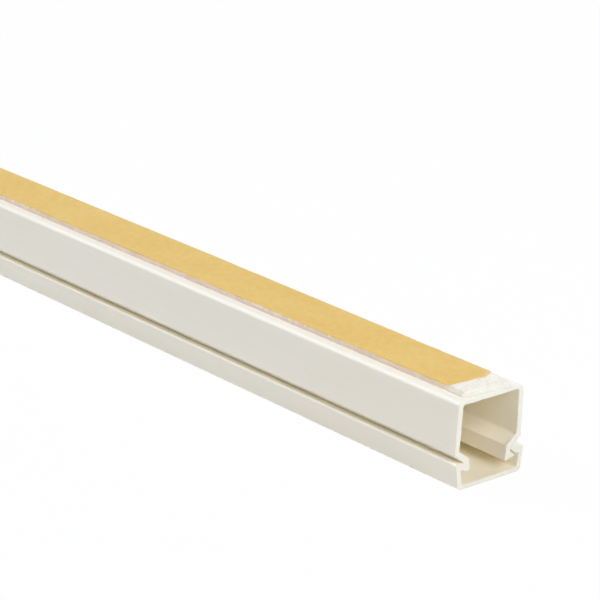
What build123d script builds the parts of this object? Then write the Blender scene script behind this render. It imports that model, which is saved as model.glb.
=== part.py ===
from build123d import *
import math
import os

# A length of square cord raceway, lying on its cover with its mounting tape up.
# One extrusion makes the base channel, the hinge on the -Y side and the cover that
# latches on the +Y side. A strip of foam tape runs along the back of the base, and
# its release liner is peeled back and torn off a little way from the +X end.
# X runs along the stock, Y across it from hinge to latch, Z up from the cover's face.
# Sizes are in millimetres.

# Stock
raceway_length = 400.0
raceway_height = 18.45       # cover face to back plate, without the tape

# Base channel
plate_width = 17.6           # back plate, across its outer corners
plate_thickness = 0.7
wall_thickness = 1.2
wall_lean = 0.3              # how far each wall leans out on its way to the shoulder
shoulder_reach = 2.7         # how far the shoulder comes in, from the wall's foot to the leg
shoulder_drop = 2.15         # fall of the shoulder's outside over that reach
leg_thickness = 1.2
leg_root_rise = 0.8          # inside corner of shoulder and leg, above the shoulder's foot
hinge_leg_length = 1.85      # below the shoulder's foot
hinge_leg_lean = 0.4         # how far the inside leans in on its way down
hinge_leg_foot = 1.1         # width of its flat end, where the hinge lip's underside runs out
latch_leg_length = 2.5       # below the shoulder's foot
latch_leg_lean = 0.2

# Barb on the latch leg
barb_reach = 1.4             # leg's outside to the tip of the barb
barb_slope = 38.0            # degrees, fall of the barb's upper face towards its tip

# Cover
cover_height = 5.65          # outer face to the hinge lip's outer edge
hinge_side_taper = 1.1       # how far the side wall leans in on its way to the face
latch_side_taper = 0.6
hinge_side_wall = 1.4
latch_side_wall = 1.2
cover_face_thickness = 0.9
lip_rise = 0.15              # hinge lip's outer edge, above the shoulder's foot
latch_lip_drop = 0.3         # latch lip's outer edge, below the hinge lip's
lip_thickness = 1.2
hinge_inset = 0.4            # cover's hinge side, in from the foot of the base's wall
barb_room = 1.05             # tip of the barb to the cover's latch side, inside
tooth_rise = 0.82            # top of the latch tooth, above the shoulder's foot
tooth_nose = 0.2             # height of its blunt tip
tooth_clearance = 0.08       # tooth to shoulder and leg
barb_clearance = 0.4         # tooth to barb

# Bends and edges
plate_edge_radius = 0.9
inside_bend_radius = 0.5
shoulder_bend_radius = 0.4
cover_edge_radius = 1.0
lip_edge_radius = 0.45
leg_end_radius = 0.25
tip_radius = 0.12            # barb, tooth, hinge leg's run-out and bottom of the hinge groove

# Mounting tape
tape_width = 12.7
tape_shift = 0.25            # tape's middle, from the base's middle towards the latch
foam_thickness = 1.1
foam_setback_hinge = 1.9     # foam's cut end behind the +X end, on the hinge side
foam_setback_latch = 0.2     # the same on the latch side
liner_thickness = 0.1
liner_setback = 5.85         # distance of the torn edge behind the +X end
liner_tear = (0.05, 0.0, 0.0, -0.15, -0.15, 0.0, -0.6, 0.0, 0.7)  # its waves, from hinge to latch

# Places in the section: y from the base's middle, depth below the base's back
plate_half = plate_width / 2
foot_half = plate_half + wall_lean
leg_outside = foot_half - shoulder_reach
leg_inside = leg_outside - leg_thickness
lip_depth = raceway_height - cover_height
shoulder_foot = lip_depth + lip_rise
shoulder_depth = shoulder_foot - shoulder_drop
shoulder_slope = shoulder_drop / shoulder_reach
shoulder_stretch = math.hypot(1, shoulder_slope)   # vertical over square-on distance
bend_depth = shoulder_depth - wall_thickness * (shoulder_stretch - shoulder_slope)
barb_fall = math.tan(math.radians(barb_slope))
barb_tip = leg_outside + barb_reach
tooth_tip = leg_outside + tooth_clearance
tooth_top = shoulder_foot + tooth_clearance * (shoulder_stretch - shoulder_slope)   # of its nose
tooth_foot = tooth_top + tooth_nose
barb_root = tooth_foot - tooth_clearance * barb_fall + barb_clearance * math.hypot(1, barb_fall)
hinge_side = hinge_inset - foot_half
latch_side = barb_tip + barb_room + latch_side_wall
lip_underside = lip_depth + lip_thickness
latch_lip_depth = lip_depth + latch_lip_drop
latch_lip_underside = latch_lip_depth + lip_thickness
face_inside = raceway_height - cover_face_thickness
taper_share = (face_inside - lip_underside) / cover_height   # of the side walls' taper, inside
base_middle = (foot_half - latch_side) / 2         # puts the whole width's middle on y = 0


def wall_outside(side):
    """Corners of one base wall's outside, from back plate to shoulder."""
    return [
        (side * plate_half, 0, plate_edge_radius),
        (side * foot_half, shoulder_depth, shoulder_bend_radius),
    ]


def wall_inside(side):
    """Corners of one base wall's inside, from leg to back plate."""
    return [
        (side * leg_inside, shoulder_foot - leg_root_rise, leg_end_radius),
        (side * (foot_half - wall_thickness), bend_depth, inside_bend_radius),
        (side * (plate_half - wall_thickness), plate_thickness, inside_bend_radius),
    ]


def hinge_lip():
    """Bottom of the V groove that the cover bends about, then the lip's outer edge."""
    return [
        (-leg_outside, shoulder_foot, tip_radius),
        (hinge_side, lip_depth, lip_edge_radius),
    ]


def cover_outside():
    """Corners of the cover's face."""
    return [
        (hinge_side + hinge_side_taper, raceway_height, cover_edge_radius),
        (latch_side - latch_side_taper, raceway_height, cover_edge_radius),
    ]


def latch_tooth():
    """The hooked lip, a tooth that seats between the shoulder and the barb."""
    crest_depth = shoulder_foot - tooth_rise
    crest = tooth_tip + (tooth_top - crest_depth) / shoulder_slope
    heel = tooth_tip + (latch_lip_underside - tooth_foot) / barb_fall
    return [
        (latch_side, latch_lip_depth, lip_edge_radius),
        (crest, crest_depth, tip_radius),
        (tooth_tip, tooth_top, tip_radius),
        (tooth_tip, tooth_foot, tip_radius),
        (heel, latch_lip_underside, tip_radius),
    ]


def cover_inside():
    """Inside of the cover's tray, from the latch lip to the hinge lip."""
    latch_wall = latch_side - latch_side_wall
    hinge_wall = hinge_side + hinge_side_wall
    return [
        (latch_wall, latch_lip_underside, leg_end_radius),
        (latch_wall - latch_side_taper * taper_share, face_inside, inside_bend_radius),
        (hinge_wall + hinge_side_taper * taper_share, face_inside, inside_bend_radius),
        (hinge_wall, lip_underside, leg_end_radius),
    ]


def plain_leg():
    """Foot of the hinge leg, which the hinge lip's underside slopes down to."""
    foot_depth = shoulder_foot + hinge_leg_length
    foot_inside = hinge_leg_lean - leg_inside
    return [
        (foot_inside - hinge_leg_foot, foot_depth, tip_radius),
        (foot_inside, foot_depth, leg_end_radius),
    ]


def barbed_leg():
    """Latch leg with the barb that the tooth snaps over, from its foot up to the shoulder."""
    return [
        (leg_inside - latch_leg_lean, shoulder_foot + latch_leg_length, leg_end_radius),
        (barb_tip, barb_root + barb_reach * barb_fall, tip_radius),
        (leg_outside, barb_root, 0),
        (leg_outside, shoulder_foot, 0),
    ]


def raceway():
    """The section, one outline of rows of y, depth and corner radius, carried along the stock."""
    corners = (
        wall_outside(-1) + hinge_lip() + cover_outside() + latch_tooth() + cover_inside()
        + plain_leg() + wall_inside(-1) + wall_inside(1)[::-1] + barbed_leg() + wall_outside(1)[::-1]
    )
    points = [(y + base_middle, raceway_height - depth) for y, depth, _ in corners]
    radii = [radius for _, _, radius in corners]
    section = make_face(FilletPolyline(*points, radius=radii, close=True))
    return extrude(Plane.YZ * section, amount=raceway_length / 2, both=True)


# The tape's plan: x along the stock, y across it
near_end = raceway_length / 2
far_end = -raceway_length / 2
tape_hinge_side = base_middle + tape_shift - tape_width / 2
tape_latch_side = base_middle + tape_shift + tape_width / 2


def foam_tape():
    """Foam strip, flush with the far end and cut a little askew short of the near end."""
    plan = make_face(Polyline(
        (far_end, tape_hinge_side),
        (near_end - foam_setback_hinge, tape_hinge_side),
        (near_end - foam_setback_latch, tape_latch_side),
        (far_end, tape_latch_side),
        close=True,
    ))
    return extrude(Plane.XY.offset(raceway_height) * plan, amount=foam_thickness)


def release_liner():
    """Paper strip over the foam, with a wavy torn edge where it was peeled and ripped."""
    step = tape_width / (len(liner_tear) - 1)
    torn = [
        (near_end - liner_setback - wave, tape_hinge_side + index * step)
        for index, wave in enumerate(liner_tear)
    ]
    sides = Polyline(torn[-1], (far_end, tape_latch_side), (far_end, tape_hinge_side), torn[0])
    plan = make_face(Spline(*torn) + sides)
    return extrude(Plane.XY.offset(raceway_height + foam_thickness) * plan, amount=liner_thickness)


os.makedirs("parts", exist_ok=True)
export_step(raceway(), "parts/raceway.step")
export_step(foam_tape(), "parts/foam_tape.step")
export_step(release_liner(), "parts/release_liner.step")
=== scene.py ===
import bpy
import math
import numpy as np
from mathutils import Matrix, Vector


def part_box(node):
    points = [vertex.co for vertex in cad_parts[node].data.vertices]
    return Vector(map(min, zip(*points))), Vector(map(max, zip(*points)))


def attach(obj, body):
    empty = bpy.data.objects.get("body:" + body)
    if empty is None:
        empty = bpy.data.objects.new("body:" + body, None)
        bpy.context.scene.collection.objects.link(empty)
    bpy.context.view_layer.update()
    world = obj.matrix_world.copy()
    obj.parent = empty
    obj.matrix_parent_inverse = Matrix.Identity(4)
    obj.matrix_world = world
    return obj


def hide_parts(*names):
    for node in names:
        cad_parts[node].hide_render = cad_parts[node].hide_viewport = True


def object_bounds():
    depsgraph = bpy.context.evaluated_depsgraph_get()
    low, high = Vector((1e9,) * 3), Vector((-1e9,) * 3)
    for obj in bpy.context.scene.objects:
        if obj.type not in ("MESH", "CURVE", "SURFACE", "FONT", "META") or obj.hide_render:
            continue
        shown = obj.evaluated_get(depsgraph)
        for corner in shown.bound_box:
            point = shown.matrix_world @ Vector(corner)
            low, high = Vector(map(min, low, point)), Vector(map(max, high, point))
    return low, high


# Looks for a length of cord raceway: the PVC section, the foam tape on its back and the
# torn paper liner. X runs along the stock, Y from hinge to latch, Z up from the cover's face.

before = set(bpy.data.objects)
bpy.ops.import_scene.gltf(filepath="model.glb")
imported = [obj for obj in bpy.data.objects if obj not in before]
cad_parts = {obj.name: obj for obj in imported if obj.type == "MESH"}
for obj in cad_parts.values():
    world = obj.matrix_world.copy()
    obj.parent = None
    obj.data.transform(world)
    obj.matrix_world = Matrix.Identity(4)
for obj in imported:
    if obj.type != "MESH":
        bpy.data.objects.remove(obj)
cadLow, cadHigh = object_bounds()      # the CAD box, before any piece is added
mm = 0.001
print("frame loaded, nodes:", ", ".join(sorted(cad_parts)))


# Shader wiring

class Wire:
    # a node's output that works in sums: each operator adds the node that it needs
    def __init__(self, tree, socket=None):
        self.tree = tree
        self.socket = socket

    # any node: its settings first, then its sockets by name or number
    def node(self, kind, settings=None, inputs=None, output=0):
        made = self.tree.nodes.new(kind)
        for name, value in (settings or {}).items():
            setattr(made, name, value)
        for name, value in (inputs or {}).items():
            if isinstance(value, Wire):
                self.tree.links.new(value.socket, made.inputs[name])
            else:
                made.inputs[name].default_value = value
        return Wire(self.tree, made.outputs[output] if made.outputs else None)

    # vectors go through Vector Math, values through Math
    def sum(self, operation, first, second):
        pair = [first, second]
        kind = "ShaderNodeMath"
        if any(isinstance(part, Wire) and part.socket.type == "VECTOR" for part in pair):
            kind = "ShaderNodeVectorMath"
            pair = [(part,) * 3 if isinstance(part, (int, float)) else part for part in pair]
        return self.node(kind, {"operation": operation}, {0: pair[0], 1: pair[1]})

    def __add__(self, other):
        return self.sum("ADD", self, other)

    def __radd__(self, other):
        return self.sum("ADD", other, self)

    def __sub__(self, other):
        return self.sum("SUBTRACT", self, other)

    def __rsub__(self, other):
        return self.sum("SUBTRACT", other, self)

    def __mul__(self, other):
        return self.sum("MULTIPLY", self, other)

    def __rmul__(self, other):
        return self.sum("MULTIPLY", other, self)

    # the larger of two values
    def most(self, other):
        return self.sum("MAXIMUM", self, other)

    # 0 below low, 1 above high, smooth between
    def step(self, low, high):
        inputs = {"Value": self, "From Min": low, "From Max": high}
        return self.node("ShaderNodeMapRange", {"interpolation_type": "SMOOTHSTEP"}, inputs)

    # this value is the share of the second colour over the first
    def mix(self, first, second):
        return self.node("ShaderNodeMix", {"data_type": "RGBA"}, {0: self, 6: first, 7: second}, 2)

    # fractal noise about 0, on a place stretched by its repeats to the metre
    def noise(self, repeats, detail=2.0):
        inputs = {"Vector": self * repeats, "Scale": 1.0, "Detail": detail}
        return self.node("ShaderNodeTexNoise", None, inputs) - 0.5

    # this value as the height of a fine relief, its depth in metres
    def bump(self, depth, strength):
        inputs = {"Height": self, "Distance": depth, "Strength": strength}
        return self.node("ShaderNodeBump", None, inputs)


# sRGB levels out of 255, each moved by the same shift or its own, as a linear colour
def tint(levels, shift=0):
    level = (np.array(levels) + shift) / 255
    linear = np.where(level <= 0.04045, level / 12.92, ((level + 0.055) / 1.055) ** 2.4)
    return (*linear.tolist(), 1.0)


# an empty material, a wire in its tree, and the place on the piece
def startMaterial(name):
    material = bpy.data.materials.new(name)
    material.use_nodes = True
    material.node_tree.nodes.clear()
    wire = Wire(material.node_tree)
    return material, wire, wire.node("ShaderNodeTexCoord", None, None, "Object")


# a value that the piece's mesh carries
def pieceValue(wire, name):
    return wire.node("ShaderNodeAttribute", {"attribute_name": name}, None, "Fac")


def endMaterial(wire, bsdfInputs):
    surface = wire.node("ShaderNodeBsdfPrincipled", None, bsdfInputs)
    wire.node("ShaderNodeOutputMaterial", None, {"Surface": surface})


# Surfaces

# Each corner (y, z, radius, extra) becomes an arc that is tangent to its two sides: its centre
# lies on the bisector, radius / sin(half the inside angle) from the corner, and its spoke turns
# evenly. Each point of the arc keeps the corner's extra value.
def arcOutline(corners, arcPoints):
    corners = np.array(corners, float)
    points, radius, extra = corners[:, :2], corners[:, 2:3], corners[:, 3:]
    back = np.roll(points, 1, axis=0) - points
    ahead = np.roll(points, -1, axis=0) - points
    back /= np.linalg.norm(back, axis=1, keepdims=True)
    ahead /= np.linalg.norm(ahead, axis=1, keepdims=True)
    inside = np.arccos(np.sum(back * ahead, axis=1, keepdims=True))
    bisector = (back + ahead) / np.linalg.norm(back + ahead, axis=1, keepdims=True)
    centre = points + bisector * radius / np.sin(inside / 2)
    first = points + back * radius / np.tan(inside / 2)
    last = points + ahead * radius / np.tan(inside / 2)
    turn = (math.pi - inside)[:, None]
    share = np.linspace(0, 1, arcPoints)[None, :, None]
    spoke = np.sin((1 - share) * turn) * (first - centre)[:, None]
    spoke = (spoke + np.sin(share * turn) * (last - centre)[:, None]) / np.sin(turn)
    arcs = (centre[:, None] + spoke).reshape(-1, 2)
    return np.concatenate([arcs, np.repeat(extra, arcPoints, axis=0)], axis=1)


# Adds points on a closed outline's long runs: evenly spaced places join its own, except where
# they would crowd them, and every column is read off in line between its neighbours.
# Gives the fuller outline, each point's distance along it, and the length of the whole.
def fillRuns(outline, spacing):
    closed = np.concatenate([outline, outline[:1]])
    runs = np.linalg.norm(np.diff(closed[:, :2], axis=0), axis=1)
    along = np.concatenate([[0], np.cumsum(runs)])
    even = np.arange(0, along[-1], spacing)
    crowded = np.abs(even[:, None] - along).min(axis=1) < spacing / 3
    places = np.sort(np.concatenate([along[:-1], even[~crowded]]))
    fuller = np.stack([np.interp(places, along, column) for column in closed.T], axis=1)
    return fuller, places, along[-1]


# Step into the solid at each point of an anticlockwise outline, which keeps its distance
# from both edges there: the sum of the two edge normals over half its own square.
def inwardSteps(outline):
    along = np.roll(outline, -1, axis=0) - outline
    along /= np.linalg.norm(along, axis=1, keepdims=True)
    normal = np.stack([-along[:, 1], along[:, 0]], axis=1)
    mitre = normal + np.roll(normal, 1, axis=0)
    return 2 * mitre / np.sum(mitre ** 2, axis=1, keepdims=True)


# Smooth curve through evenly spaced values (Catmull-Rom), read at shares from 0 to 1.
def curveThrough(values, share):
    values = np.array(values, float)
    ends = 2 * values[[0, -1]] - values[[1, -2]]
    knots = np.concatenate([ends[:1], values, ends[1:]])
    place = np.clip(share, 0, 1) * (len(values) - 1)
    left = np.minimum(place.astype(int), len(values) - 2)
    t = place - left
    a, b, c, d = knots[left], knots[left + 1], knots[left + 2], knots[left + 3]
    return b + t / 2 * (c - a + t * (2 * a - 5 * b + 4 * c - d + t * (3 * (b - c) + d - a)))


# Sum of plane waves with random headings and phases, about -1 to 1; x and y in mm, and
# wavelengths between the two given, the long ones the strongest.
def waves(x, y, shortest, longest, count, seed):
    draw = np.random.default_rng(seed)
    length = np.geomspace(shortest, longest, count)
    heading = draw.uniform(0, 2 * math.pi, count)
    phase = draw.uniform(0, 2 * math.pi, count)
    weight = np.sqrt(length / length.sum())
    alongX = np.multiply.outer(x, np.cos(heading) / length)
    alongY = np.multiply.outer(y, np.sin(heading) / length)
    return np.sin(2 * math.pi * (alongX + alongY) + phase) @ weight


# The same waves along a closed outline: they are read on a circle of the outline's own length.
def closedWaves(places, whole, shortest, longest, count, seed):
    radius = whole / (2 * math.pi)
    return waves(radius * np.cos(places / radius), radius * np.sin(places / radius),
                 shortest, longest, count, seed)


# 0 below low, 1 above high, with a level start and end
def ease(value, low, high):
    share = np.clip((value - low) / (high - low), 0, 1)
    return share * share * (3 - 2 * share)


# Closed skin over rings of points (stations along X, points around, 3): a quad between each
# four neighbours, and the first and last rings filled with flat faces.
def skin(name, rings, material, values):
    stations, around = rings.shape[:2]
    index = np.arange(stations * around).reshape(stations, around)
    near, far = index[1:], index[:-1]
    quads = np.stack([far, np.roll(far, -1, axis=1), np.roll(near, -1, axis=1), near], axis=-1)
    faces = quads.reshape(-1, 4).tolist() + [index[-1].tolist(), index[0, ::-1].tolist()]
    mesh = bpy.data.meshes.new(name)
    mesh.from_pydata((rings.reshape(-1, 3) * mm).tolist(), [], faces)
    for valueName, value in values.items():
        layer = mesh.attributes.new(valueName, "FLOAT", "POINT")
        spread = np.broadcast_to(value, (stations, around)).astype(np.float32)
        layer.data.foreach_set("value", spread.ravel())
    mesh.polygons.foreach_set("use_smooth", np.arange(len(faces)) < len(faces) - 2)
    mesh.update()
    mesh.materials.append(material)
    piece = bpy.data.objects.new(name, mesh)
    bpy.context.scene.collection.objects.link(piece)
    print(name, "skin:", len(mesh.vertices), "points,", len(mesh.polygons), "faces")
    return piece


# Rests the piece in the frame, in the node's place, and hides the node.
def seat(piece, node):
    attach(piece, "root")
    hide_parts(node)


# Raceway

raceway = {                        # mm
    "length": (cadHigh[0] - cadLow[0]) / mm,
    "height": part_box("raceway")[1][2] / mm,    # cover face to back plate
    "plateWidth": 17.6,            # across the back plate's outer corners
    "plateThick": 0.7,
    "wallThick": 1.2,
    "wallLean": 0.3,               # how far each wall leans out on its way to the shoulder
    "shoulderReach": 2.7,          # how far the shoulder comes in, from the wall's foot to the leg
    "shoulderDrop": 2.15,
    "legThick": 1.2,
    "legRootRise": 0.8,            # inside corner of shoulder and leg, above the shoulder's foot
    "hingeLegLength": 1.85,        # below the shoulder's foot
    "hingeLegLean": 0.4,
    "hingeLegFoot": 1.1,
    "latchLegLength": 2.5,
    "latchLegLean": 0.2,
    "barbReach": 1.4,
    "barbSlope": 38.0,             # degrees
    "coverHeight": 5.65,           # outer face to the hinge lip's outer edge
    "hingeSideTaper": 1.1,
    "latchSideTaper": 0.6,
    "hingeSideWall": 1.4,
    "latchSideWall": 1.2,
    "coverFaceThick": 0.9,
    "lipRise": 0.15,               # hinge lip's outer edge, above the shoulder's foot
    "latchLipDrop": 0.3,           # latch lip's outer edge, below the hinge lip's
    "lipThick": 1.2,
    "hingeInset": 0.4,             # cover's hinge side, in from the foot of the wall
    "barbRoom": 1.05,              # tip of the barb to the cover's latch side, inside
    "toothRise": 0.82,
    "toothNose": 0.2,              # height of its blunt tip
    "toothClearance": 0.08,        # tooth to shoulder and leg
    "barbClearance": 0.4,          # tooth to barb
    "plateEdge": 0.9,              # radii, down to rootEdge
    "insideBend": 0.5,
    "shoulderBend": 0.4,
    "coverEdge": 1.0,
    "lipEdge": 0.45,
    "legEdge": 0.25,
    "tipEdge": 0.12,
    "rootEdge": 0.06,
    "cutEdge": 0.09,               # rounding of the sawn ends
    "cutWear": 0.4,                # share that this rounding differs by from place to place
    "burr": 0.16,                  # rags that the saw leaves on the inner edges
    "burrLength": 0.6,
    "spacing": 0.2,                # of points along the section
    "arcPoints": 8,                # on each rounded corner of the section
    "bodyRings": 16,               # from the middle to each end
    "lastRing": 0.15,              # the last of them, this far from the end
    "edgeRings": 4,                # round each sawn edge
    "color": (247, 242, 225),
    "sawnColor": (229, 229, 213),
    "rough": 0.36,
    "relief": 0.02,                # depth of the surface's fine bumps
    "ior": 1.52,
    "translucency": 0.35,
    "lightDepth": 0.9,             # how far light gets into the plastic
}


# The section's corners, as rows of y from the base's middle, depth below the back plate, radius
# and raggedness. Anticlockwise seen from +X: over the back, down the hinge side, along the cover,
# up to the latch's lip, then inside from the tooth round the tray, the legs and the chamber.
# Gives the rows and the base's middle, which puts the middle of the whole width on y = 0.
def racewayCorners(r):
    plateHalf = r["plateWidth"] / 2
    footHalf = plateHalf + r["wallLean"]
    legOutside = footHalf - r["shoulderReach"]
    legInside = legOutside - r["legThick"]
    lipDepth = r["height"] - r["coverHeight"]
    lipUnder = lipDepth + r["lipThick"]
    foot = lipDepth + r["lipRise"]                      # the shoulder's foot
    shoulder = foot - r["shoulderDrop"]
    slope = r["shoulderDrop"] / r["shoulderReach"]
    stretch = math.hypot(1, slope)                      # vertical over square-on distance
    bend = shoulder - r["wallThick"] * (stretch - slope)
    barbFall = math.tan(math.radians(r["barbSlope"]))
    barbTip = legOutside + r["barbReach"]
    toothTip = legOutside + r["toothClearance"]
    toothTop = foot + r["toothClearance"] * (stretch - slope)
    toothFoot = toothTop + r["toothNose"]
    barbRoot = toothFoot - r["toothClearance"] * barbFall
    barbRoot += r["barbClearance"] * math.hypot(1, barbFall)
    hingeSide = r["hingeInset"] - footHalf
    latchSide = barbTip + r["barbRoom"] + r["latchSideWall"]
    latchLip = lipDepth + r["latchLipDrop"]
    latchLipUnder = latchLip + r["lipThick"]
    faceInside = r["height"] - r["coverFaceThick"]
    taperShare = (faceInside - lipUnder) / r["coverHeight"]
    hingeIn = hingeSide + r["hingeSideWall"]
    latchIn = latchSide - r["latchSideWall"]
    crest = foot - r["toothRise"]
    hingeFoot = r["hingeLegLean"] - legInside
    outside = [
        (footHalf, shoulder, r["shoulderBend"], 0),
        (plateHalf, 0, r["plateEdge"], 0),
        (-plateHalf, 0, r["plateEdge"], 0),
        (-footHalf, shoulder, r["shoulderBend"], 0),
        (-legOutside, foot, r["tipEdge"], 0),
        (hingeSide, lipDepth, r["lipEdge"], 0),
        (hingeSide + r["hingeSideTaper"], r["height"], r["coverEdge"], 0),
        (latchSide - r["latchSideTaper"], r["height"], r["coverEdge"], 0),
        (latchSide, latchLip, r["lipEdge"], 0),
    ]
    tooth = [
        (toothTip + (toothTop - crest) / slope, crest, r["tipEdge"], 0),
        (toothTip, toothTop, r["tipEdge"], 0),
        (toothTip, toothFoot, r["tipEdge"], 0),
        (toothTip + (latchLipUnder - toothFoot) / barbFall, latchLipUnder, r["tipEdge"], 0),
    ]
    tray = [
        (latchIn, latchLipUnder, r["legEdge"], 0),
        (latchIn - r["latchSideTaper"] * taperShare, faceInside, r["insideBend"], 0.5),
        (hingeIn + r["hingeSideTaper"] * taperShare, faceInside, r["insideBend"], 0.5),
        (hingeIn, lipUnder, r["legEdge"], 0.5),
    ]
    chamber = [
        (hingeFoot - r["hingeLegFoot"], foot + r["hingeLegLength"], r["tipEdge"], 0.5),
        (hingeFoot, foot + r["hingeLegLength"], r["legEdge"], 0.5),
        (-legInside, foot - r["legRootRise"], r["legEdge"], 0.5),
        (r["wallThick"] - footHalf, bend, r["insideBend"], 0.5),
        (r["wallThick"] - plateHalf, r["plateThick"], r["insideBend"], 0.3),
        (plateHalf - r["wallThick"], r["plateThick"], r["insideBend"], 0.3),
        (footHalf - r["wallThick"], bend, r["insideBend"], 1),
        (legInside, foot - r["legRootRise"], r["legEdge"], 1),
        (legInside - r["latchLegLean"], foot + r["latchLegLength"], r["legEdge"], 0.3),
    ]
    barb = [
        (barbTip, barbRoot + r["barbReach"] * barbFall, r["tipEdge"], 0),
        (legOutside, barbRoot, r["rootEdge"], 0),
        (legOutside, foot, r["rootEdge"], 0),
    ]
    return outside + tooth + tray + chamber + barb, (footHalf - latchSide) / 2


# Streaks and clouds shift the plastic's warmth and polish. The sawn ends are duller, with saw lines.
def pvcMaterial(r):
    material, wire, place = startMaterial("warmWhitePvc")
    cut = pieceValue(wire, "cutFace")
    drawLines = place.noise((5, 1500, 1500), 3)          # streaks that the die leaves along the stock
    clouds = place.noise((22, 70, 70), 2)
    grain = place.noise(3800, 2)
    sawLines = place.noise((900, 700, 5200), 3)
    warm = (0.5 + drawLines * 0.5 + clouds * 0.7).step(0, 1)
    plain = warm.mix(tint(r["color"], (-3, -3, -5)), tint(r["color"], (3, 3, 4)))
    sawn = (0.5 + sawLines).step(0.1, 0.9).mix(tint(r["sawnColor"], -4), tint(r["sawnColor"], 4))
    rough = r["rough"] + drawLines * 0.12 + grain * 0.1 + cut * 0.22
    height = (1 - cut) * (drawLines * 0.5 + grain * 0.25 + clouds * 0.6) + cut * sawLines
    bump = height.bump(r["relief"] * mm, 0.6)
    endMaterial(wire, {
        "Base Color": cut.mix(plain, sawn), "Roughness": rough, "Normal": bump, "IOR": r["ior"],
        "Subsurface Weight": r["translucency"], "Subsurface Scale": r["lightDepth"] * mm,
        "Subsurface Radius": (1.0, 0.97, 0.88),
    })
    return material


# Rings of the section along X, closer together towards both ends. At a sawn end a quarter round
# takes the outline in and forward by the edge's radius, which differs from place to place, and
# rags of uneven height push the inner edges out over the last bit of length.
def racewaySkin(r):
    corners, middle = racewayCorners(r)
    corners = [(y + middle, r["height"] - depth, *rest) for y, depth, *rest in corners]
    outline, places, whole = fillRuns(arcOutline(corners, r["arcPoints"]), r["spacing"])
    section, ragged = outline[:, :2], outline[:, 2]
    half = r["length"] / 2
    turn = np.linspace(0, math.pi / 2, r["edgeRings"])
    body = np.geomspace(half, r["lastRing"], r["bodyRings"])
    back = np.concatenate([body, r["cutEdge"] * (1 - np.sin(turn))])
    rounding = np.concatenate([np.zeros(len(body)), 1 - np.cos(turn)])
    x = np.concatenate([(back - half)[:0:-1], half - back])
    rounding = np.concatenate([rounding[:0:-1], rounding])[:, None]
    fromEnd = half - np.abs(x)[:, None]
    wear = 1 + r["cutWear"] * closedWaves(places, whole, shortest=0.7, longest=9, count=10, seed=11)
    nearRags = closedWaves(places, whole, shortest=0.8, longest=4, count=9, seed=12)
    farRags = closedWaves(places, whole, shortest=0.8, longest=4, count=9, seed=13)
    rags = np.clip(np.where(x[:, None] > 0, nearRags, farRags), -0.5, 1) * ragged * r["burr"]
    inset = rounding * r["cutEdge"] * wear - (1 - ease(fromEnd, 0, r["burrLength"])) * rags
    rings = np.empty((len(x), len(section), 3))
    rings[..., 0] = x[:, None]
    rings[..., 1:] = section + inset[..., None] * inwardSteps(section)
    onCut = fromEnd < r["cutEdge"] * 0.6       # the end face and all but the start of its edge
    return skin("raceway_extrusion", rings, pvcMaterial(r), {"cutFace": onCut})


seat(racewaySkin(raceway), "raceway")


# Tape

tape = {                          # mm, and from the tape's middle where it is across
    "width": 12.7,
    "middle": sum(corner[1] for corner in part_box("foam_tape")) / 2 / mm,
    "base": raceway["height"],
    "foamThick": 1.1,
    "linerThick": 0.1,
    "foamEnd": (1.5, 1.2, 0.95, 0.7, 0.45, 0.25, 0.15),    # setbacks from the +X end, hinge to latch
    "foamLeft": (1.0, 0.95, 0.89, 0.8, 0.68, 0.58, 0.48),  # share of the height left where it is torn
    "foamFront": (0.6, 1.2, 1.8, 2.1, 2.2, 2.1, 2.0),      # length that the torn front slopes down over
    "foamJags": 0.12,             # unevenness of the foam's front
    "tearFall": 3.5,              # length past the tear that the foam's height falls over
    "undercut": 0.03,             # how far the foam's sides draw in under the liner
    "foamWaver": 0.03,            # slow waves of the foam's sides
    "tornLean": 0.5,              # how far the top of the torn hinge side leans in
    "ripple": 0.24,               # share of the height that the torn foam's ripples take
    "sag": 0.2,                   # the latch edge lies lower towards the +X end
    "sagLength": 100.0,
    "swell": 0.015,               # low swells of the tape's top
    "tearAcross": (-6.35, -5.8, -4.6, -3.2, -1.0, 0.5, 1.9, 2.3, 3.0, 4.35, 5.5, 6.35),
    "tearBack": (6.0, 5.89, 5.85, 5.86, 5.61, 5.81, 5.83, 5.37, 5.22, 5.77, 6.3, 6.78),
    "tearJags": 0.07,             # fine unevenness of the tear
    "cornerRound": 0.7,           # the liner's corner at the hinge side is worn off
    "feather": 0.35,              # length that the paper thins over before the tear
    "featherLeft": 0.12,          # share of its thickness left at the tear
    "linerWaver": 0.06,           # slow waves of the paper's long edges
    "exposedColor": (239, 236, 221),   # foam where the liner is off
    "sideColor": (243, 224, 204),
    "speckColor": (247, 243, 232),     # crumbs on the foam's sides
    "glueColor": (243, 236, 212),
    "foamRelief": 0.12,                # depth of its fine bumps
    "linerColor": (229, 192, 106),
    "tornPaleAndShadedColor": (230, 206, 140),      # inside of the paper, at the tear, with painted shade: its red is held down as the shadow at the tear's lit edge
    "fibreTurn": 0.73,                 # radians that the paper's fibres lie askew
    "linerRelief": 0.03,
}


# Stations along the stock as shares of its length, close together near the +X end, and one
# just short of the other end, so that its edge shades crisply.
def tapeStations(fine, fineLength, coarse, length):
    fineBack = fineLength * np.linspace(0, 1, fine) ** 1.5
    coarseBack = fineLength + (length - fineLength) * np.linspace(0, 1, coarse)[1:-1] ** 1.4
    back = np.concatenate([fineBack, coarseBack, [length - 0.05, length]])
    return 1 - back[::-1] / length


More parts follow.
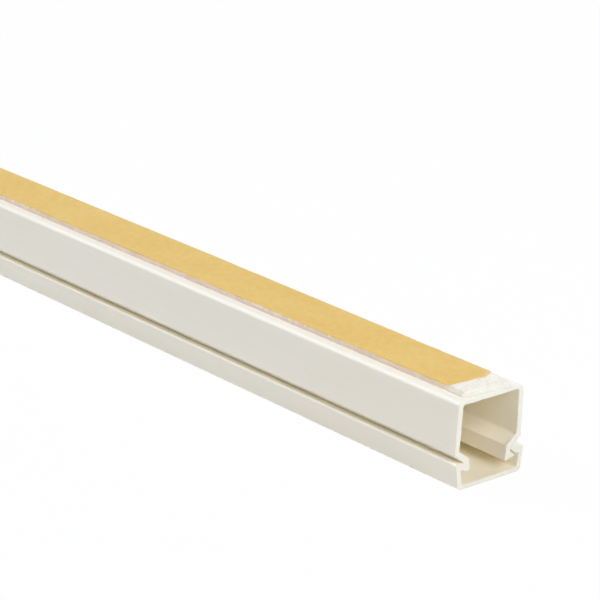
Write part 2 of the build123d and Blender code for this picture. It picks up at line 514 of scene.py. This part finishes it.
# Unit section of the tape, y -1 to 1 and z 0 to 1, anticlockwise seen from +X: down the
# hinge side, along the bottom, up the latch side and back over the top.
def tapeSection(sidePoints, topPoints):
    side = np.linspace(1, 0, sidePoints)
    bottom = np.linspace(-1, 1, 9)[1:-1]
    top = np.linspace(1, -1, topPoints)[1:-1]
    y = np.concatenate([-np.ones(sidePoints), bottom, np.ones(sidePoints), top])
    z = np.concatenate([side, np.zeros(len(bottom)), side[::-1], np.ones(len(top))])
    return y, z


# Where the liner is torn, as distance behind the +X end: straight rips between the places
# listed, and a quarter round at the hinge side's corner.
def tearBack(t, wide):
    fromCorner = np.clip(1 - (wide + t["width"] / 2) / t["cornerRound"], 0, 1)
    rounded = t["cornerRound"] * (1 - np.sqrt(1 - fromCorner ** 2))
    return np.interp(wide, t["tearAcross"], t["tearBack"]) + rounded


# How far the tape's top lies below its full height: a sag that grows towards the +X end and,
# as a square, towards the latch, and low swells.
def settling(t, x, wide, half):
    across = wide / t["width"] + 0.5
    swell = t["swell"] * (1 + waves(x, wide, shortest=5, longest=60, count=9, seed=17))
    return t["sag"] * ease(x, half - t["sagLength"], half) * across ** 2 + np.clip(swell, 0, 1)


# Blotchy sides with pale crumbs near their top, and stringy white where the foam is torn, with
# some adhesive on its front at the hinge side.
def foamMaterial(t):
    material, wire, place = startMaterial("foamTape")
    bare, height, glue = (pieceValue(wire, name) for name in ("bare", "sideHeight", "glue"))
    cells = wire.node("ShaderNodeTexVoronoi", None, {"Vector": place, "Scale": 4200.0}, "Distance")
    strands = place.noise((900, 2600, 2600), 4)
    patches = place.noise(260, 3)
    along = wire.node("ShaderNodeSeparateXYZ", None, {"Vector": place}, "X")
    crumbs = place.noise((700, 300, 300), 1) + place.noise((60, 20, 20), 1) * 0.7
    crumbs = (crumbs + along.step(0.08, 0.15) * 0.08).step(0.12, 0.18)   # most towards the +X end
    crumbs = crumbs * (1 - along.step(0.178, 0.186))     # and none beside the tear
    shade = (0.5 + patches * 0.8 + strands * 0.5).step(0, 1)
    side = shade.mix(tint(t["sideColor"], -14), tint(t["sideColor"], (10, 12, 13)))
    side = (crumbs * height.step(0.45, 0.7)).mix(side, tint(t["speckColor"]))
    torn = (0.5 + strands * 0.9 + patches * 0.4).step(0.1, 0.9)
    torn = torn.mix(tint(t["exposedColor"], (-9, -12, -20)), tint(t["exposedColor"], (6, 7, 10)))
    torn = (glue * (0.5 + strands).step(0.3, 0.7)).mix(torn, tint(t["glueColor"]))
    relief = cells * 0.35 + strands * 0.8
    bump = relief.bump(t["foamRelief"] * mm, 0.7)
    endMaterial(wire, {
        "Base Color": bare.mix(side, torn), "Roughness": 0.82 + strands * 0.15, "Normal": bump,
    })
    return material


# The foam's rings: the unit section stretched to size, its front cut to a curve across the
# width. Past the tear the height falls to what is left, and ripples lower it further: chatter
# across the tape at the hinge side, mottled at the latch side, and none at the hinge edge itself.
# The front eases down to the plate. The sides draw in towards the top and by slow waves, and
# past the tear the hinge side leans in.
def foamSkin(t, length):
    y, z = tapeSection(sidePoints=9, topPoints=160)
    share = tapeStations(fine=130, fineLength=9.0, coarse=130, length=length)[:, None]
    half = length / 2
    wide = y * t["width"] / 2
    across = (y + 1) / 2
    jags = t["foamJags"] * np.abs(waves(wide, 0 * y, shortest=0.4, longest=3, count=12, seed=21))
    endX = half - curveThrough(t["foamEnd"], across) - jags
    x = -half + share * (endX + half)
    pastTear = x - (half - tearBack(t, wide))
    left = 1 - ease(pastTear, 0, t["tearFall"]) * (1 - curveThrough(t["foamLeft"], across))
    front = np.clip((endX - x) / curveThrough(t["foamFront"], across), 0.1, 1)
    chatter = waves(x, wide * 0.25, shortest=0.5, longest=1.3, count=14, seed=5)
    mottle = waves(x, wide, shortest=0.5, longest=1.6, count=24, seed=6)
    ripples = chatter + (mottle - chatter) * ease(across, 0.25, 0.6)
    rippled = ease(pastTear, 0, 0.25) * ease(wide + t["width"] / 2, 0, 0.9)
    ripples = rippled * t["ripple"] * np.clip(0.5 + 0.5 * ripples, 0, 1.6)
    height = (t["foamThick"] - settling(t, x, wide, half)) * left * (1 - ripples) * ease(front, 0, 1)
    lean = t["tornLean"] * ease(pastTear, 0, 2) * (1 - across)
    waver = t["foamWaver"] * np.abs(waves(x, 3 * z + y, shortest=0.8, longest=14, count=14, seed=8))
    drawIn = waver + t["undercut"] * z ** 2 + lean * z
    rings = np.empty((*x.shape, 3))
    rings[..., 0] = x
    rings[..., 1] = t["middle"] + wide - y * drawIn
    rings[..., 2] = t["base"] + z * height
    onSide = np.abs(y) == 1
    values = {
        "bare": np.where(onSide, ease(pastTear, -1, 3.5), ease(pastTear, 0, 0.25)),
        "sideHeight": z,
        "glue": (1 - ease(endX - x, 0.05, 0.3)) * (1 - ease(across, 0.2, 0.45)),
    }
    return skin("foam_strip", rings, foamMaterial(t), values)


# Fibres and pulp on a cloudy tan, yellower along the paper's edges, and pale at the tear with painted
# shade there and on the paper's edge faces and underside.
def linerMaterial(t):
    material, wire, place = startMaterial("linerPaper")
    edge, torn = (pieceValue(wire, name) for name in ("paperEdge", "tornEdgeAndShade"))
    turned = wire.node("ShaderNodeMapping", None, {"Vector": place, "Rotation": (0, 0, t["fibreTurn"])})
    fibres = turned.noise((2100, 3200, 3200), 5)
    pulp = turned.noise((430, 620, 620), 5)
    clouds = place.noise((70, 110, 110), 2)
    shade = (0.5 + fibres * 0.7 + pulp * 0.7 + clouds * 0.6).step(0, 1)
    color = shade.mix(tint(t["linerColor"], (-6, -9, -14)), tint(t["linerColor"], (6, 8, 10)))
    color = edge.mix(color, tint(t["linerColor"], (9, 5, -18)))
    # the tear's pale inside, held darker as painted shade, also on the paper's edge faces and underside
    color = torn.mix(color, tint(t["tornPaleAndShadedColor"]))
    bump = (fibres + pulp).bump(t["linerRelief"] * mm, 0.5)
    endMaterial(wire, {
        "Base Color": color, "Roughness": 0.52 + fibres * 0.2, "Normal": bump,
        "Specular IOR Level": 0.3,
    })
    return material


# The liner's rings: a thin unit section that lies on the foam's top and ends at the +X side in
# the tear, with fine jags on it. The paper thins to a feather over the last bit before the tear.
def linerSkin(t, length):
    y, z = tapeSection(sidePoints=3, topPoints=160)
    paperLength = length - max(t["tearBack"])
    share = tapeStations(fine=50, fineLength=4.0, coarse=150, length=paperLength)[:, None]
    half = length / 2
    wide = y * t["width"] / 2
    jags = t["tearJags"] * waves(wide, 0 * y, shortest=0.3, longest=3, count=12, seed=33)
    tearX = half - tearBack(t, wide) + jags
    x = -half + share * (tearX + half)
    thick = np.clip((tearX - x) / t["feather"], t["featherLeft"], 1)
    waver = t["linerWaver"] * np.abs(waves(x, y, shortest=2, longest=30, count=10, seed=41))
    underside = t["base"] + t["foamThick"] - settling(t, x, wide, half)
    rings = np.empty((*x.shape, 3))
    rings[..., 0] = x
    rings[..., 1] = t["middle"] + wide - y * waver
    rings[..., 2] = underside + t["linerThick"] * z * thick
    across = (y + 1) / 2
    # the torn band carries the painted shade at the tear: half strength on the hinge half, and wider
    # towards the latch
    tornAndShadeShare = 1 - ease((tearX - x) / (0.4 + 1.4 * ease(across, 0.6, 1)), 0, 1)
    values = {
        "paperEdge": (1 - ease(t["width"] / 2 - np.abs(wide), 0, 0.9)) * (1 - across / 2),
        "tornEdgeAndShade": np.maximum(tornAndShadeShare * (0.5 + 0.5 * ease(across, 0.3, 0.6)), 1 - z),
    }
    return skin("release_paper", rings, linerMaterial(t), values)


foamStrip = foamSkin(tape, raceway["length"])
seat(foamStrip, "foam_tape")
seat(linerSkin(tape, raceway["length"]), "release_liner")


# Stage

stage = {
    "floorSize": 6.0,            # metres
    "floorColor": (0.88, 0.88, 0.87, 1.0),
    "floorGlow": 0.97,           # share of plain white that the camera sees in the floor
    "lampTarget": (0.13, 0, 0.01),
    "lampDistance": 1.3,
    "lampSize": 1.1,
    "lamps": {                   # direction from the target, power in watts, colour
        "endBox": ((1.0, -0.1, 0.68), 15.2, (0.985, 0.963, 0.998)),
        "sideBox": ((-0.75, -0.6, 1.0), 9.85, (0.97, 0.949, 0.998)),
        "topBox": ((-0.4, 0.0, 1.0), 3.9, (0.4, 0.636, 1.0)),
        "backBox": ((0.1, 1.0, 0.6), 3.0, (1.0, 1.0, 1.0)),
    },
}


# 1 for rays that see the background by eye, in gloss or through glass
def seenDirectly(wire):
    rays = ("Is Camera Ray", "Is Glossy Ray", "Is Transmission Ray")
    byEye, inGloss, throughGlass = (wire.node("ShaderNodeLightPath", None, None, ray) for ray in rays)
    return byEye.most(inGloss).most(throughGlass)


# Nearly plain white to the eye, and pale matte to the light that falls on it.
def floorMaterial(s):
    material, wire, place = startMaterial("paleFloor")
    speckle = place.noise(300, 3)
    color = (0.5 + speckle * 0.4).mix(tuple(0.985 * c for c in s["floorColor"]), s["floorColor"])
    matte = wire.node("ShaderNodeBsdfDiffuse", None, {"Color": color})
    white = wire.node("ShaderNodeEmission", None, {"Strength": 1.0})
    seen = seenDirectly(wire) * s["floorGlow"]
    surface = wire.node("ShaderNodeMixShader", None, {0: seen, 1: matte, 2: white})
    wire.node("ShaderNodeOutputMaterial", None, {"Surface": surface})
    return material


def buildFloor(s):
    reach = s["floorSize"] / 2
    corners = [(-reach, -reach, 0), (reach, -reach, 0), (reach, reach, 0), (-reach, reach, 0)]
    mesh = bpy.data.meshes.new("floor")
    mesh.from_pydata(corners, [], [(0, 1, 2, 3)])
    mesh.materials.append(floorMaterial(s))
    floor = bpy.data.objects.new("floor", mesh)
    bpy.context.scene.collection.objects.link(floor)


# white where the background is seen, and no light of its own
def buildSky():
    world = bpy.data.worlds.new("studio")
    world.use_nodes = True
    world.node_tree.nodes.clear()
    wire = Wire(world.node_tree)
    seen = seenDirectly(wire)
    sky = wire.node("ShaderNodeBackground", None, {"Color": (1, 1, 1, 1), "Strength": seen})
    wire.node("ShaderNodeOutputWorld", None, {"Surface": sky})
    bpy.context.scene.world = world


def buildLamps(s):
    for name, (heading, power, color) in s["lamps"].items():
        light = bpy.data.lights.new(name, "AREA")
        light.shape = "DISK"
        light.size = s["lampSize"]
        light.energy = power
        light.color = color
        lamp = bpy.data.objects.new(name, light)
        toLamp = Vector(heading).normalized()
        lamp.location = Vector(s["lampTarget"]) + toLamp * s["lampDistance"]
        lamp.rotation_euler = toLamp.to_track_quat("Z", "Y").to_euler()
        lamp.visible_camera = False
        bpy.context.scene.collection.objects.link(lamp)


buildFloor(stage)
buildSky()
buildLamps(stage)
print("stage lit by", ", ".join(stage["lamps"]))


# Camera

camera = {
    "place": (0.4956, -0.3156, 0.18589),        # metres
    "azimuth": 41.827,                          # degrees from -X towards +Y
    "elevation": 19.218,                        # degrees below the horizon
    "roll": 2.44,                               # degrees that uprights lean right
    "lens": 143.94,                             # mm on a 36 mm sensor
}


def buildCamera(c):
    azimuth, elevation, roll = (math.radians(c[name]) for name in ("azimuth", "elevation", "roll"))
    level = math.cos(elevation)
    forward = Vector((-level * math.cos(azimuth), level * math.sin(azimuth), -math.sin(elevation)))
    right = forward.cross(Vector((0, 0, 1))).normalized()
    up = right.cross(forward)
    leaningRight = math.cos(roll) * right + math.sin(roll) * up
    leaningUp = math.cos(roll) * up - math.sin(roll) * right
    turned = Matrix((leaningRight, leaningUp, -forward)).transposed()
    data = bpy.data.cameras.new("photoView")
    data.lens = c["lens"]
    data.sensor_width = 36
    data.clip_start = 0.01
    data.clip_end = 20
    eye = bpy.data.objects.new("photoView", data)
    eye.matrix_world = Matrix.Translation(c["place"]) @ turned.to_4x4()
    bpy.context.scene.collection.objects.link(eye)
    bpy.context.scene.camera = eye


buildCamera(camera)
bpy.context.scene.view_settings.view_transform = "Standard"
cycles = bpy.context.scene.cycles
cycles.max_bounces = 24            # light has to find its way into the pale channel
cycles.diffuse_bounces = 24
